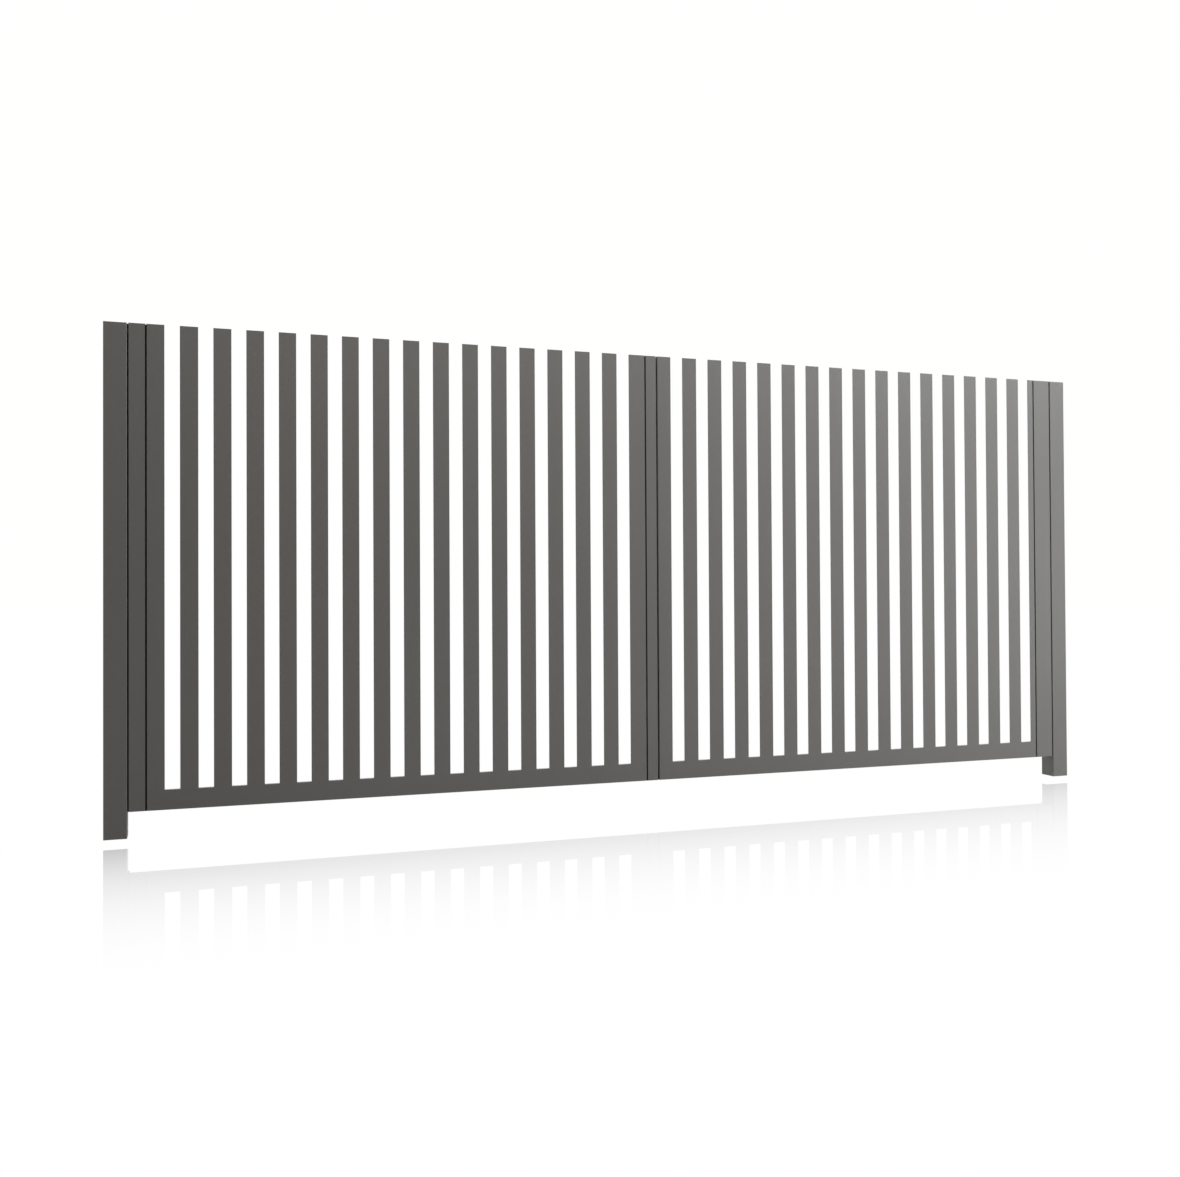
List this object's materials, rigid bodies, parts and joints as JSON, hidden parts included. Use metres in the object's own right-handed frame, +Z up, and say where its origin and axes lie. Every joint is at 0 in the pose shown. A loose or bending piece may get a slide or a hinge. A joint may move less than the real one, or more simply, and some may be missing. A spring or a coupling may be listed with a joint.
{
  "type": "double-leaf aluminium swing gate",
  "caption": "Double-leaf swing gate of grey aluminium: free-standing upright slats on a bottom rail, box stiles, square posts and rear pin hinges.",
  "frame": {"origin": "centre of the left post's foot, at ground level", "axes": "+X along the gate from the left post to the right post, +Y to the rear, where the leaves open, +Z up; the front faces are at negative Y"},
  "size_m": [3.965, 0.075, 1.75],
  "materials": {
    "frame_coat": "matt anthracite powder coat on aluminium",
    "cap_coat": "matt anthracite powder coat on pressed aluminium caps",
    "hinge_coat": "dark satin coat on steel hinges"
  },
  "bodies": {
    "posts": {"left_post": "frame_coat", "left_post_foot": "frame_coat", "left_post_cap": "cap_coat", "left_hinge_rail": "frame_coat", "left_lower_hinge_pin": "hinge_coat", "left_upper_hinge_pin": "hinge_coat", "right_post": "frame_coat", "right_post_foot": "frame_coat", "right_post_cap": "cap_coat", "right_hinge_rail": "frame_coat", "right_lower_hinge_pin": "hinge_coat", "right_upper_hinge_pin": "hinge_coat"},
    "left_leaf": {"left_hinge_stile": "frame_coat", "left_meeting_stile": "frame_coat", "left_stile_caps": "cap_coat", "left_bottom_rail": "frame_coat", "left_slats": "frame_coat", "left_hinge_edge_slat": "frame_coat", "left_meeting_edge_slat": "frame_coat", "left_slat_caps": "cap_coat", "left_lower_hinge_eye": "hinge_coat", "left_upper_hinge_eye": "hinge_coat"},
    "right_leaf": {"right_hinge_stile": "frame_coat", "right_meeting_stile": "frame_coat", "right_stile_caps": "cap_coat", "right_bottom_rail": "frame_coat", "right_slats": "frame_coat", "right_hinge_edge_slat": "frame_coat", "right_slat_caps": "cap_coat", "right_lower_hinge_eye": "hinge_coat", "right_upper_hinge_eye": "hinge_coat"}
  },
  "joints": [
    {"name": "left_leaf_hinge", "type": "hinge", "parent": "posts", "child": "left_leaf", "pos_m": [0.0535, 0.0225, 0.3], "axis": [0, 0, 1], "range_deg": [0, 110]},
    {"name": "right_leaf_hinge", "type": "hinge", "parent": "posts", "child": "right_leaf", "pos_m": [3.8365, 0.0225, 0.3], "axis": [0, 0, -1], "range_deg": [0, 110]}
  ]
}
